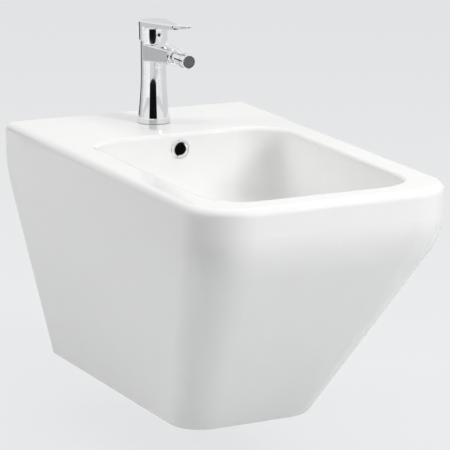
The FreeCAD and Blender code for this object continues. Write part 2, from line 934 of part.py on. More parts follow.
def make_tap_body():
    body = make_column().fuse(make_spout())
    chamber = rod(cartridge_chamber_radius, on_tap(chamber_low), on_tap(tap_height + cut_past))
    collar = rod(cartridge_shoulder_radius + slide_gap, on_tap(shoulder_low), on_tap(tap_height + cut_past))
    thread_depth = socket_thread_length + socket_seal_thickness
    spout_end = ball_centre + TO_FRONT * ball_inside_spout
    socket = rod(socket_thread_radius + thread_gap, spout_end + TO_WALL * thread_depth, spout_end)
    bore = rod(spout_bore_radius, on_tap(spout_bore_inner_height), spout_end)
    groove = tube(
        base_seal_radius + slide_gap,
        base_seal_radius - base_seal_width - slide_gap,
        on_tap(0),
        on_tap(tap_base_gap + base_seal_depth),
    )
    stud_top = rim_z + tap_base_gap + stud_in_base
    stud_hole = rod(stud_radius + thread_gap, vec(0, stud_y, rim_z), vec(0, stud_y, stud_top))
    cuts = [chamber, collar, socket, bore, groove, stud_hole]
    for side in (-1, 1):
        foot = inlet_foot(side)
        cuts.append(rod(inlet_thread_radius, foot + DOWN * trim_past, foot + UP * inlet_thread_depth))
        start = foot + UP * (inlet_thread_depth - inlet_passage_radius)
        cuts.append(rod(inlet_passage_radius, start, inlet_port(side, chamber_low)))
        end = inlet_port(side, chamber_low)
        cuts.append(rod(inlet_passage_radius, end + DOWN * inlet_passage_radius, end + UP * trim_past))
    return body.cut(cuts)


def make_clamp(top, thickness):
    """Horseshoe plate under the deck: its slot leaves the way for the supply pipes."""
    plate = rod(clamp_radius, vec(0, tap_y, top - thickness), vec(0, tap_y, top))
    slot = box_between(
        vec(-clamp_slot_width / 2, tap_y - clamp_slot_start, top - thickness - cut_past),
        vec(clamp_slot_width / 2, tap_y + clamp_radius + cut_past, top + cut_past),
    )
    hole = rod(stud_radius + slide_gap, vec(0, stud_y, top - thickness), vec(0, stud_y, top))
    return plate.cut(slot).cut(hole)


deck_under_z = rim_z - deck_thickness
clamp_z = deck_under_z - clamp_gasket_thickness
clamp_low = vec(0, stud_y, clamp_z - clamp_thickness)
stud_high = vec(0, stud_y, rim_z + tap_base_gap + stud_in_base)
save("tap_body", make_tap_body())
save(
    "tap_base_seal",
    tube(
        base_seal_radius,
        base_seal_radius - base_seal_width,
        on_tap(0),
        on_tap(tap_base_gap + base_seal_depth),
    ),
)
save("tap_fixing_stud", rod(stud_radius, stud_high + DOWN * stud_length, stud_high))
save("tap_clamp_gasket", make_clamp(deck_under_z, clamp_gasket_thickness))
save("tap_clamp_plate", make_clamp(clamp_z, clamp_thickness))
save(
    "tap_fixing_nut",
    hexagon_nut(clamp_nut_width, stud_radius + thread_gap, clamp_low, clamp_low + DOWN * clamp_nut_height),
)


# Cartridge: ported housing, a fixed and a moving disc, and the carrier that holds the spindle on its pin

housing_low = cartridge_floor + cartridge_seal_lift
housing_inner = cartridge_radius - cartridge_wall
fixed_disc_low = housing_low + cartridge_base
moving_disc_low = fixed_disc_low + fixed_disc_thickness + disc_gap
moving_disc_top = moving_disc_low + moving_disc_thickness
carrier_low = moving_disc_top + running_gap
carrier_shoulder = cartridge_top - running_gap
tip_height = moving_disc_top - disc_socket_depth + spindle_tip_radius + slide_gap
socket_half = spindle_tip_radius + running_gap


def ports(radius, low, high):
    return [rod(radius, inlet_port(side, low), inlet_port(side, high)) for side in (-1, 1)]


def make_housing():
    profile = [
        (0, housing_low),
        (cartridge_radius, housing_low),
        (cartridge_radius, shoulder_low),
        (cartridge_shoulder_radius, shoulder_low),
        (cartridge_shoulder_radius, cartridge_top),
        (housing_inner, cartridge_top),
        (housing_inner, fixed_disc_low),
        (0, fixed_disc_low),
    ]
    housing = turned(profile, on_tap(0), UP)
    window = box_between(
        on_tap(moving_disc_low) + vec(-cartridge_window / 2, -cartridge_chamber_radius, 0),
        on_tap(shoulder_low - cartridge_base) + vec(cartridge_window / 2, 0, 0),
    )
    seat_radius = port_radius + cartridge_seal_width + slide_gap
    seats = ports(seat_radius, housing_low, housing_low + cartridge_seal_depth)
    return housing.cut(ports(port_radius, housing_low, fixed_disc_low) + seats + [window])


def make_base_seal(side):
    low = inlet_port(side, cartridge_floor)
    high = inlet_port(side, housing_low + cartridge_seal_depth)
    return tube(port_radius + cartridge_seal_width, port_radius, low, high)


def make_fixed_disc():
    top = fixed_disc_low + fixed_disc_thickness
    disc = rod(housing_inner - slide_gap, on_tap(fixed_disc_low), on_tap(top))
    return disc.cut(ports(port_radius, fixed_disc_low, top))


def make_moving_disc():
    disc = rod(moving_disc_radius, on_tap(moving_disc_low), on_tap(moving_disc_top))
    socket = box_between(
        on_tap(moving_disc_top - disc_socket_depth) + vec(-socket_half, -socket_half, 0),
        on_tap(moving_disc_top + cut_past) + vec(socket_half, socket_half, 0),
    )
    return disc.cut(socket)


def make_carrier():
    drum = rod(housing_inner - running_gap, on_tap(carrier_low), on_tap(carrier_shoulder))
    neck = rod(carrier_neck_radius, on_tap(carrier_low), on_tap(carrier_top))
    slot_half = spindle_width / 2 + running_gap
    slot = box_between(
        on_tap(carrier_low - cut_past) + vec(-slot_half, -carrier_slot_reach, 0),
        on_tap(carrier_top + cut_past) + vec(slot_half, carrier_slot_reach, 0),
    )
    pin_hole = rod(
        pivot_pin_radius + seat_gap,
        on_tap(pivot_height) + RIGHT * -carrier_neck_radius,
        on_tap(pivot_height) + RIGHT * carrier_neck_radius,
    )
    return drum.fuse(neck).cut(slot).cut(pin_hole)


def make_spindle():
    half = spindle_width / 2
    blade = box_between(
        on_tap(pivot_height - spindle_width) + vec(-half, -half, 0), on_tap(spindle_top) + vec(half, half, 0)
    )
    arm = rod(spindle_arm_radius, on_tap(tip_height), on_tap(pivot_height))
    tip = Part.makeSphere(spindle_tip_radius, on_tap(tip_height))
    pin_hole = rod(
        pivot_pin_radius + thread_gap,
        on_tap(pivot_height) + RIGHT * -spindle_width,
        on_tap(pivot_height) + RIGHT * spindle_width,
    )
    return blade.fuse([arm, tip]).cut(pin_hole)


def make_cartridge_nut():
    low = on_tap(cartridge_top)
    ring = tube(cartridge_shoulder_radius, carrier_neck_radius + running_gap, low, on_tap(cartridge_nut_top))
    key_low = on_tap(cartridge_nut_top - cartridge_nut_key_depth)
    return ring.cut(hexagon(cartridge_nut_key, key_low, on_tap(tap_height)))


pin_half = carrier_neck_radius - slide_gap
save("cartridge_housing", make_housing())
save("cartridge_base_seals", make_base_seal(-1), make_base_seal(1))
save("cartridge_fixed_disc", make_fixed_disc())
save("cartridge_moving_disc", make_moving_disc())
save("cartridge_carrier", make_carrier())
save("cartridge_spindle", make_spindle())
save(
    "cartridge_pivot_pin",
    rod(pivot_pin_radius, on_tap(pivot_height) + RIGHT * -pin_half, on_tap(pivot_height) + RIGHT * pin_half),
)
save("cartridge_nut", make_cartridge_nut())


# Handle: round hub over the cartridge, a tapering plate forward of it and a thin tongue at the end

plate_end_y = tap_y - lever_plate_reach
roof_height = handle_top - handle_roof
hub_radius = handle_radius - handle_overhang
skirt_inner = hub_radius - handle_skirt_wall
screw_z = rim_z + handle_screw_height
socket_reach = spindle_width / 2 + slide_gap


def side_prism(points, half):
    """Prism across the lever from (y, height) corners, centred on it."""
    corners = [vec(-half, y, rim_z + height) for y, height in points]
    return Part.Face(Part.makePolygon(corners + corners[:1])).extrude(vec(2 * half, 0, 0))


def tilted(piece):
    """Turn a piece of the lever up towards the front, about the middle of its root."""
    piece.rotate(on_tap(handle_top - lever_root_thickness / 2), RIGHT, -lever_tilt)
    return piece


def make_plate():
    """Plan of a disc drawn out to a narrow end, flat on top and thinning to the end."""
    reach = lever_plate_reach
    lean = math.asin((handle_radius - lever_end_half) / reach)
    touch_x = handle_radius * math.cos(lean)
    touch_y = tap_y - handle_radius * math.sin(lean)
    low = rim_z + handle_top - lever_root_thickness
    rear = vec(0, tap_y + handle_radius, low)
    right_touch = vec(touch_x, touch_y, low)
    left_touch = vec(-touch_x, touch_y, low)
    right_end = vec(lever_end_half, plate_end_y, low)
    left_end = vec(-lever_end_half, plate_end_y, low)
    edges = [
        Part.Arc(right_touch, rear, left_touch).toShape(),
        Part.makeLine(left_touch, left_end),
        Part.makeLine(left_end, right_end),
        Part.makeLine(right_end, right_touch),
    ]
    plan = Part.Face(Part.Wire(edges)).extrude(vec(0, 0, lever_root_thickness))
    rear_y = tap_y + handle_radius + trim_past
    front_y = plate_end_y - trim_past
    under = side_prism(
        [
            (rear_y, handle_top),
            (front_y, handle_top),
            (front_y, handle_top - lever_end_thickness),
            (tap_y - handle_radius, handle_top - lever_root_thickness),
            (rear_y, handle_top - lever_root_thickness),
        ],
        handle_radius + trim_past,
    )
    plate = plan.common(under)
    return plate.makeFillet(lever_edge_radius, edges_at(plate, rim_z + handle_top, lambda mid: True))


def make_blend():
    """Hollow curve that carries the front of the hub out under the plate, and is narrower than it."""
    high = handle_top - lever_root_thickness + lever_blend_overlap
    low = high - lever_blend_radius
    start = hub_radius - lever_blend_bite
    end = start + lever_blend_radius
    across = lever_blend_radius * (1 - math.sqrt(0.5))
    edges = [
        Part.makeLine(vec(skirt_inner, 0, low), vec(start, 0, low)),
        Part.Arc(vec(start, 0, low), vec(start + across, 0, high - across), vec(end, 0, high)).toShape(),
        Part.makeLine(vec(end, 0, high), vec(skirt_inner, 0, high)),
        Part.makeLine(vec(skirt_inner, 0, high), vec(skirt_inner, 0, low)),
    ]
    flare = Part.Face(Part.Wire(edges)).revolve(vec(0, 0, 0), UP, 360)
    flare.translate(on_tap(0))
    narrowing = (handle_radius - lever_end_half) / lever_plate_reach
    corners = []
    for reach in (hub_radius / 2, end):
        half = handle_radius - narrowing * reach - lever_blend_inset
        corners.append((half, tap_y - reach))
        corners.insert(0, (-half, tap_y - reach))
    ring = [vec(x, y, rim_z + low) for x, y in corners]
    plan = Part.Face(Part.makePolygon(ring + ring[:1])).extrude(vec(0, 0, lever_blend_radius))
    return flare.common(plan)


def make_tongue():
    """Finger tip of the lever: a blade that thins and turns up towards its end."""
    start_y = plate_end_y + lever_end_thickness
    bend_y = plate_end_y - tongue_bend
    end_y = tap_y - tongue_reach
    root_top = handle_top - tongue_drop
    low = root_top - tongue_root_thickness
    tip_top = root_top + tongue_rise
    profile = side_prism(
        [
            (start_y, low),
            (plate_end_y, low),
            (bend_y, low + tongue_under_rise),
            (end_y, tip_top - tongue_thickness),
            (end_y, tip_top),
            (plate_end_y, root_top),
            (start_y, root_top),
        ],
        handle_radius,
    )
    corners = [
        (tongue_root_half, start_y),
        (-tongue_root_half, start_y),
        (-tongue_end_half, end_y),
        (tongue_end_half, end_y),
    ]
    radii = [0, 0, tongue_corner_radius, tongue_corner_radius]
    plan = Part.Face(rounded_outline(corners, radii, rim_z + low - cut_past))
    return profile.common(plan.extrude(vec(0, 0, tip_top - low + 2 * cut_past)))


def make_handle():
    hub = rod(hub_radius, on_tap(handle_skirt_front), on_tap(handle_top - lever_root_thickness / 2))
    hollow = rod(skirt_inner, on_tap(handle_skirt_front - cut_past), on_tap(roof_height))
    boss = rod(handle_boss_radius, on_tap(handle_boss_bottom), on_tap(roof_height + seat_gap))
    web = box_between(
        on_tap(handle_boss_bottom) + vec(-handle_web / 2, -skirt_inner - seat_gap, 0),
        on_tap(roof_height + seat_gap) + vec(handle_web / 2, 0, 0),
    )
    reach = handle_radius + trim_past
    skirt_cut = side_prism(
        [
            (tap_y - reach, handle_skirt_front),
            (tap_y + reach, handle_skirt_rear),
            (tap_y + reach, handle_skirt_front - cut_past),
            (tap_y - reach, handle_skirt_front - cut_past),
        ],
        reach,
    )
    lever = [tilted(make_plate()), tilted(make_tongue()), make_blend()]
    shell = hub.cut(skirt_cut).fuse(lever).cut(hollow)
    handle = shell.fuse([boss, web])
    socket = box_between(
        on_tap(handle_boss_bottom - cut_past) + vec(-socket_reach, -socket_reach, 0),
        on_tap(spindle_top + running_gap) + vec(socket_reach, socket_reach, 0),
    )
    screw_hole = rod(handle_screw_radius + thread_gap, vec(0, tap_y, screw_z), vec(0, tap_y - reach, screw_z))
    plug_hole = rod(
        handle_plug_radius + seat_gap,
        vec(0, tap_y - hub_radius + handle_plug_depth, screw_z),
        vec(0, tap_y - reach, screw_z),
    )
    return handle.cut([socket, screw_hole, plug_hole, index_bar(seat_gap)])


def index_bar(extra):
    """Oval index set in the lever's front end, or its recess when grown by extra."""
    height = rim_z + handle_top - index_drop
    radius = index_radius + extra
    side = vec(index_length / 2 - index_radius, 0, 0)
    rear = vec(0, plate_end_y + index_depth + extra, height)
    front = vec(0, plate_end_y, height)
    ends = [rod(radius, rear + side, front + side), rod(radius, rear - side, front - side)]
    middle = box_between(front - side - vec(0, 0, radius), rear + side + vec(0, 0, radius))
    return tilted(middle.fuse(ends).removeSplitter())


def make_screw_plug():
    start = vec(0, tap_y - hub_radius + handle_plug_depth, screw_z)
    plug = rod(handle_plug_radius, start, vec(0, tap_y - handle_radius, screw_z))
    return plug.common(rod(hub_radius, on_tap(handle_boss_bottom), on_tap(roof_height)))


screw_start = vec(0, tap_y - socket_reach, screw_z)
save("handle", make_handle())
save("handle_screw", rod(handle_screw_radius, screw_start, screw_start + TO_FRONT * handle_screw_length))
save("handle_screw_plug", make_screw_plug())
save("handle_index", index_bar(0))


# Swivel nozzle: a ball held in the spout end by a screwed socket, carrying the aerator

def on_nozzle(along):
    """Point on the nozzle axis, measured forward from the ball centre."""
    return ball_centre + TO_FRONT * along


socket_front = ball_inside_spout + socket_flange_thickness
socket_rear = ball_inside_spout - socket_thread_length
ball_cavity = ball_radius + slide_gap
shell_bore_end = nozzle_shell_start + nozzle_thread_length
shell_thread_end = nozzle_shell_end + nozzle_thread_length
aerator_start = nozzle_shell_end + slide_gap
aerator_inner = aerator_radius - aerator_rim
insert_radius = aerator_inner - seat_gap
screen_front = aerator_end - aerator_recess
screen_rear = screen_front - aerator_screen_thickness
insert_rear = shell_thread_end + aerator_washer_thickness


def make_socket():
    profile = [
        (0, socket_rear),
        (socket_thread_radius, socket_rear),
        (socket_thread_radius, ball_inside_spout),
        (socket_flange_radius, ball_inside_spout),
        (socket_flange_radius, socket_front - socket_flange_chamfer),
        (socket_flange_radius - socket_flange_chamfer, socket_front),
        (0, socket_front),
    ]
    ring = turned(profile, ball_centre, TO_FRONT)
    bore = rod(ball_cavity, on_nozzle(socket_rear - cut_past), ball_centre)
    return ring.cut(bore).cut(Part.makeSphere(ball_cavity, ball_centre))


def make_seat_ring():
    ring = tube(ball_radius, seat_ring_inner_radius, on_nozzle(socket_rear), on_nozzle(-seat_ring_cover))
    return ring.cut(Part.makeSphere(ball_radius + thread_gap, ball_centre))


def make_ball():
    ball = Part.makeSphere(ball_radius, ball_centre)
    neck = rod(nozzle_neck_radius, ball_centre, on_nozzle(shell_bore_end))
    return ball.fuse(neck).cut(rod(nozzle_bore_radius, on_nozzle(-ball_radius), on_nozzle(shell_bore_end)))


def make_nozzle_shell():
    bore = nozzle_neck_radius + thread_gap
    waterway = nozzle_thread_radius - aerator_rim
    profile = [
        (bore, nozzle_shell_start),
        (nozzle_shell_rear_radius, nozzle_shell_start),
        (nozzle_shell_radius, nozzle_shell_start + nozzle_shell_taper),
        (nozzle_shell_radius, nozzle_shell_end),
        (nozzle_thread_radius, nozzle_shell_end),
        (nozzle_thread_radius, shell_thread_end),
        (waterway, shell_thread_end),
        (waterway, shell_bore_end + aerator_rim),
        (bore, shell_bore_end + aerator_rim),
    ]
    return turned(profile, ball_centre, TO_FRONT)


def make_aerator_housing():
    groove_low = aerator_radius - nozzle_groove_depth
    first = aerator_start + nozzle_groove_start
    second = first + nozzle_groove_pitch
    profile = [
        (nozzle_thread_radius + thread_gap, aerator_start),
        (aerator_radius - nozzle_groove_depth, aerator_start),
        (aerator_radius, aerator_start + nozzle_groove_depth),
        (aerator_radius, first),
        (groove_low, first),
        (groove_low, first + nozzle_groove),
        (aerator_radius, first + nozzle_groove),
        (aerator_radius, second),
        (groove_low, second),
        (groove_low, second + nozzle_groove),
        (aerator_radius, second + nozzle_groove),
        (aerator_radius, aerator_end - nozzle_groove_depth),
        (aerator_radius - nozzle_groove_depth, aerator_end),
        (aerator_inner, aerator_end),
        (aerator_inner, shell_thread_end),
        (nozzle_thread_radius + thread_gap, shell_thread_end),
    ]
    return turned(profile, ball_centre, TO_FRONT)


def make_screen():
    """Outlet disc with rings of fine holes."""
    disc = rod(insert_radius, on_nozzle(screen_rear), on_nozzle(screen_front))
    holes = []
    for ring in range(1, screen_rings + 1):
        radius = screen_pitch * ring
        for step in range(6 * ring):
            turn = math.radians(60 * step / ring)
            shift = vec(radius * math.cos(turn), 0, radius * math.sin(turn))
            start = on_nozzle(screen_rear) + shift
            holes.append(rod(screen_hole_radius, start, start + TO_FRONT * aerator_screen_thickness))
    return disc.cut(holes)


def make_aerator_body():
    body = rod(insert_radius, on_nozzle(insert_rear), on_nozzle(screen_rear))
    return body.cut(rod(nozzle_bore_radius, on_nozzle(insert_rear), on_nozzle(screen_rear)))


save("nozzle_socket", make_socket())
save(
    "nozzle_socket_seal",
    tube(
        socket_thread_radius - slide_gap,
        seat_ring_inner_radius,
        on_nozzle(socket_rear - socket_seal_thickness),
        on_nozzle(socket_rear),
    ),
)
save("nozzle_seat_ring", make_seat_ring())
save("nozzle_ball", make_ball())
save("nozzle_shell", make_nozzle_shell())
save("aerator_housing", make_aerator_housing())
save(
    "aerator_washer",
    tube(
        insert_radius,
        nozzle_thread_radius - aerator_rim,
        on_nozzle(shell_thread_end),
        on_nozzle(insert_rear),
    ),
)
save("aerator_body", make_aerator_body())
save("aerator_screen", make_screen())
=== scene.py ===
import math

import bmesh
import bpy
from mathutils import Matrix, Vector


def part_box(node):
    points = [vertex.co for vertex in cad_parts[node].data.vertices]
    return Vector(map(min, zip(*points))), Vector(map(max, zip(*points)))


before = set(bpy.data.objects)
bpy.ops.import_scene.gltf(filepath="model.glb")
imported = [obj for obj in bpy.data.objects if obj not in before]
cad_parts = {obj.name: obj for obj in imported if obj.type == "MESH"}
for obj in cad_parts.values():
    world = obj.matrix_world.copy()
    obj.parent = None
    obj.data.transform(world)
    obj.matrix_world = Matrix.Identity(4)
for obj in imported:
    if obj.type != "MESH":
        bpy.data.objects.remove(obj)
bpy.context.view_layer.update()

# Body: a shell and a basin of vitreous china, slip-cast apart and joined before firing.
# The whole is dipped in white glaze, which softens every edge. The walls of the overflow duct behind the
# basin are painted dark: painted shade for the depth of the hole.


def linear(code):
    """Linear colour of an sRGB hex value, by the sRGB standard's own curve."""
    parts = [int(code[start:start + 2], 16) / 255 for start in (0, 2, 4)]
    return [part / 12.92 if part < 0.04045 else ((part + 0.055) / 1.055) ** 2.4 for part in parts] + [1.0]


def add(tree, kind, settings, links):
    """Add a shader node, set its sockets and properties, and link other nodes' outputs to it."""
    node = tree.nodes.new(kind)
    for name, value in settings.items():
        if isinstance(name, int) or name in node.inputs:
            node.inputs[name].default_value = value
        else:
            setattr(node, name, value)
    for name, source in links.items():
        tree.links.new(source, node.inputs[name])
    return node


mm_per_metre = 1000.0
# The noise seldom leaves this range, so the roughness spans its two values over it.
noise_low = 0.3
noise_high = 0.7


def finish(name, colours, roughness, grain_mm, relief_mm, **surface):
    """Surface whose colour, roughness and level drift between two values over patches of one size."""
    material = bpy.data.materials.new(name)
    material.use_nodes = True
    tree = material.node_tree
    tree.nodes.clear()
    place = add(tree, "ShaderNodeTexCoord", {}, {})
    patches = add(
        tree,
        "ShaderNodeTexNoise",
        {"Scale": mm_per_metre / grain_mm, "Detail": 3.0, "Roughness": 0.5},
        {"Vector": place.outputs["Object"]},
    )
    # Inputs 6 and 7 of a colour mix are its two colours, and output 2 is their mix.
    colour = add(
        tree,
        "ShaderNodeMix",
        {"data_type": "RGBA", 6: linear(colours[0]), 7: linear(colours[1])},
        {0: patches.outputs["Fac"]},
    )
    rough = add(
        tree,
        "ShaderNodeMapRange",
        {"From Min": noise_low, "From Max": noise_high, "To Min": roughness[0], "To Max": roughness[1]},
        {"Value": patches.outputs["Fac"]},
    )
    level = add(
        tree,
        "ShaderNodeBump",
        {"Strength": 1.0, "Distance": relief_mm / mm_per_metre},
        {"Height": patches.outputs["Fac"]},
    )
    shader = add(
        tree,
        "ShaderNodeBsdfPrincipled",
        surface,
        {
            "Base Color": colour.outputs[2],
            "Roughness": rough.outputs["Result"],
            "Normal": level.outputs["Normal"],
        },
    )
    add(tree, "ShaderNodeOutputMaterial", {}, {"Surface": shader.outputs["BSDF"]})
    return material


def dress(material, *nodes):
    """Give CAD nodes their finish."""
    for name in nodes:
        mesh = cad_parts[name].data
        mesh.materials.clear()
        mesh.materials.append(material)


# Fired glaze is glass over white clay: a clear gloss that mirrors faintly, with a slow ripple in it.
china_glaze = finish(
    "vitreous_china_glaze",
    colours=("F4F4F3", "F7F7F6"),
    roughness=(0.05, 0.08),
    grain_mm=35.0,
    relief_mm=0.04,
    IOR=1.52,
)
dress(china_glaze, "ceramic_basin", "ceramic_shell")

# Painted shade for the overflow duct: a dull, dark grey-brown on its walls, standing in for the shadow deep
# in the hole.
duct_painted_shade = finish(
    "overflow_duct_painted_shade",
    colours=("5A554E", "68625A"),
    roughness=(0.8, 0.9),
    grain_mm=3.0,
    relief_mm=0.1,
    IOR=1.5,
)
# The basin's second slot carries the duct's painted shade.
basin_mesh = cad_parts["ceramic_basin"].data
basin_mesh.materials.append(duct_painted_shade)
duct_shade_slot = 1

# The duct lies behind the overflow ring, between two depths from the front of the ring's lip. Its faces
# there take the painted shade.
ring_low, ring_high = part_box("overflow_ring")
duct_half_width = 0.0185
duct_start = 0.0035
duct_reach = 0.027
for face in basin_mesh.polygons:
    depth = face.center.y - ring_low[1]
    behind_ring = duct_start < depth < duct_reach and abs(face.center.x) < duct_half_width
    if behind_ring and face.center.z < ring_high[2]:
        face.material_index = duct_shade_slot

# Wall fixings: a sleeve, a washer and a nut on each stud of the wall's frame.
# The sleeve is moulded and keeps the steel off the china, and the nut pulls the body to the wall.

# Moulded polypropylene: even and white, with a satin skin.
white_plastic = finish(
    "moulded_white_polypropylene",
    colours=("E4E4E1", "ECECE9"),
    roughness=(0.28, 0.36),
    grain_mm=6.0,
    relief_mm=0.02,
    IOR=1.49,
)
dress(white_plastic, "fixing_sleeves")

# Zinc plate on steel: a cool grey with a clouded, half-dull shine.
zinc_steel = finish(
    "zinc_plated_steel",
    colours=("A8ABAE", "BFC2C4"),
    roughness=(0.28, 0.4),
    grain_mm=3.0,
    relief_mm=0.01,
    Metallic=1.0,
)
dress(zinc_steel, "fixing_washers", "fixing_nuts")

# Overflow ring: a turned brass ring, plated and pressed into the hole in the basin's rear wall.
# Its lip lies on the glaze and its tube lines the hole.

# Bright chrome over nickel: a hard mirror with hardly any colour of its own.
bright_chrome = finish(
    "bright_chrome_plate",
    colours=("E4E5E7", "ECEDEE"),
    roughness=(0.03, 0.05),
    grain_mm=12.0,
    relief_mm=0.004,
    Metallic=1.0,
)
dress(bright_chrome, "overflow_ring")

# Waste: a plated brass body through the basin's floor with a push plug in it.
# Rubber gaskets seal it above and below, and a brass locknut draws it tight from underneath.

dress(bright_chrome, "waste_body", "waste_plug")

# Turned brass: warm yellow. Tool marks blur its shine, and are drawn as patches coarse enough to show.
turned_brass = finish(
    "turned_brass",
    colours=("B08D4B", "C4A465"),
    roughness=(0.22, 0.32),
    grain_mm=4.0,
    relief_mm=0.01,
    Metallic=1.0,
)
dress(turned_brass, "waste_locknut")
dress(zinc_steel, "waste_plug_stem")

# Moulded acetal: a waxy mid grey.
grey_acetal = finish(
    "moulded_grey_acetal",
    colours=("8A8D90", "96999C"),
    roughness=(0.4, 0.5),
    grain_mm=4.0,
    relief_mm=0.01,
    IOR=1.48,
)
dress(grey_acetal, "waste_latch_sleeve")

# Nitrile rubber: near black and dull.
seal_rubber = finish(
    "nitrile_rubber",
    colours=("1B1B1C", "262627"),
    roughness=(0.6, 0.75),
    grain_mm=3.0,
    relief_mm=0.02,
    IOR=1.52,
)
dress(seal_rubber, "waste_plug_seal", "waste_upper_gasket", "waste_lower_gasket")

# Bottle trap: moulded in white plastic, screwed to the waste's tail and out to the wall.
# Its cup unscrews for cleaning, and rubber seals close its joints.

dress(white_plastic, "trap_inlet_nut", "trap_body", "trap_cup", "trap_outlet_nut", "trap_outlet_pipe")
dress(seal_rubber, "trap_inlet_seal", "trap_cup_seal", "trap_outlet_seal")

# Tap body: cast brass, ground, polished and plated, standing on a rubber seal on the deck.
# A brass stud and nut with a steel plate and a gasket clamp it from below.

dress(bright_chrome, "tap_body")
dress(turned_brass, "tap_fixing_stud", "tap_fixing_nut")
dress(zinc_steel, "tap_clamp_plate")
dress(seal_rubber, "tap_base_seal", "tap_clamp_gasket")

# Cartridge: two lapped ceramic discs in a moulded housing, held in the tap by a brass nut.
# The spindle rocks on a steel pin in the turning carrier and slides the upper disc.

dress(grey_acetal, "cartridge_housing", "cartridge_carrier")
dress(turned_brass, "cartridge_nut", "cartridge_spindle")
dress(zinc_steel, "cartridge_pivot_pin")
dress(seal_rubber, "cartridge_base_seals")

# Lapped alumina: a cream white with a fine sheen.
disc_alumina = finish(
    "lapped_alumina",
    colours=("DDDBD4", "E5E3DC"),
    roughness=(0.15, 0.25),
    grain_mm=3.0,
    relief_mm=0.005,
    IOR=1.76,
)
dress(disc_alumina, "cartridge_fixed_disc", "cartridge_moving_disc")

# Handle: a cast and plated lever over the cartridge, held to the spindle by a grub screw.
# A cap closes the screw's hole, and a plastic mark is set in the front of the hub.

dress(bright_chrome, "handle")
dress(zinc_steel, "handle_screw")

# Moulded black acetal: dark with a low shine. The cap and the mark are real parts, but their black is
# painted shade for the recess of the screw's hole and the notch at the lever's step.
black_shade_acetal = finish(
    "black_acetal_with_painted_shade",
    colours=("26272A", "323337"),
    roughness=(0.35, 0.45),
    grain_mm=2.0,
    relief_mm=0.01,
    IOR=1.48,
)
# The cap and the mark are painted black as shade for the screw's recess and the lever's step.
dress(black_shade_acetal, "handle_index", "handle_screw_plug")

# Nozzle: a plated ball that swivels in a socket at the spout's end, sealed by a ring.
# A plated shell on the ball holds the aerator, with its moulded body, screen and washer.

dress(bright_chrome, "nozzle_socket", "nozzle_ball", "nozzle_shell", "aerator_housing")
dress(grey_acetal, "nozzle_seat_ring", "aerator_body")
dress(seal_rubber, "nozzle_socket_seal", "aerator_washer")

# Moulded acetal in a deeper grey, for the screen: plain and dull between its holes.
screen_acetal = finish(
    "moulded_deep_grey_acetal",
    colours=("66686C", "727478"),
    roughness=(0.4, 0.5),
    grain_mm=2.0,
    relief_mm=0.01,
    IOR=1.48,
)
dress(screen_acetal, "aerator_screen")

# Floor and surround: a plain painted floor below the hung body, in a white surround.
# Both look pale to the camera and to mirrors, and give little light themselves.


def seen_rays(tree):
    """One for rays that come from the camera or by way of a mirror or glass, nought for the rest."""
    ray = add(tree, "ShaderNodeLightPath", {}, {})
    direct = add(
        tree,
        "ShaderNodeMath",
        {"operation": "MAXIMUM"},
        {0: ray.outputs["Is Camera Ray"], 1: ray.outputs["Is Glossy Ray"]},
    )
    seen = add(
        tree,
        "ShaderNodeMath",
        {"operation": "MAXIMUM"},
        {0: direct.outputs["Value"], 1: ray.outputs["Is Transmission Ray"]},
    )
    return seen.outputs["Value"]


def panel(name, corners, material):
    """Flat four-cornered piece of the studio."""
    panel_mesh = bmesh.new()
    panel_mesh.faces.new([panel_mesh.verts.new(corner) for corner in corners])
    data = bpy.data.meshes.new(name)
    panel_mesh.to_mesh(data)
    panel_mesh.free()
    data.materials.append(material)
    piece = bpy.data.objects.new(name, data)
    bpy.context.scene.collection.objects.link(piece)
    return piece


# Painted board: matt and pale, so that the body's shadow lies softly on it.
matt_roughness = (0.9, 0.95)
matt_relief_mm = 0.01
matt_ior = 1.3
pale_floor = finish(
    "painted_studio_floor",
    colours=("E2E3E4", "E5E6E7"),
    roughness=matt_roughness,
    grain_mm=600.0,
    relief_mm=matt_relief_mm,
    IOR=matt_ior,
)

# Where the floor is seen, most of its look is an even glow, so that it stays pale to its far edge.
floor_glow_share = 0.85
floor_tree = pale_floor.node_tree
floor_share = add(
    floor_tree,
    "ShaderNodeMath",
    {"operation": "MULTIPLY", 1: floor_glow_share},
    {0: seen_rays(floor_tree)},
)
floor_glow = add(floor_tree, "ShaderNodeEmission", {"Color": linear("EFF0F1"), "Strength": 1.0}, {})
seen_floor = add(
    floor_tree,
    "ShaderNodeMixShader",
    {},
    {
        0: floor_share.outputs["Value"],
        1: floor_tree.nodes["Principled BSDF"].outputs["BSDF"],
        2: floor_glow.outputs["Emission"],
    },
)
floor_output = floor_tree.nodes["Material Output"]
floor_tree.links.new(seen_floor.outputs["Shader"], floor_output.inputs["Surface"])

floor_z = -0.32
floor_half = 30.0
floor_corners = [(-1, -1), (1, -1), (1, 1), (-1, 1)]
panel("floor", [(floor_half * x, floor_half * y, floor_z) for x, y in floor_corners], pale_floor)

surround_colour = linear("FFFFFF")
light_level = 0.11
seen_level = 0.95
world = bpy.data.worlds.new("studio_surround")
bpy.context.scene.world = world
world.use_nodes = True
sky = world.node_tree
sky.nodes.clear()
light = add(sky, "ShaderNodeBackground", {"Color": surround_colour, "Strength": light_level}, {})
backdrop = add(sky, "ShaderNodeBackground", {"Color": surround_colour, "Strength": seen_level}, {})
surround = add(
    sky,
    "ShaderNodeMixShader",
    {},
    {0: seen_rays(sky), 1: light.outputs["Background"], 2: backdrop.outputs["Background"]},
)
add(sky, "ShaderNodeOutputWorld", {}, {"Surface": surround.outputs["Shader"]})

# Lamps: soft boxes at the front right, one low and one high, a wide one overhead and one behind on the left.
# Polished surfaces don't show them, since the boards below give those their lights and darks.


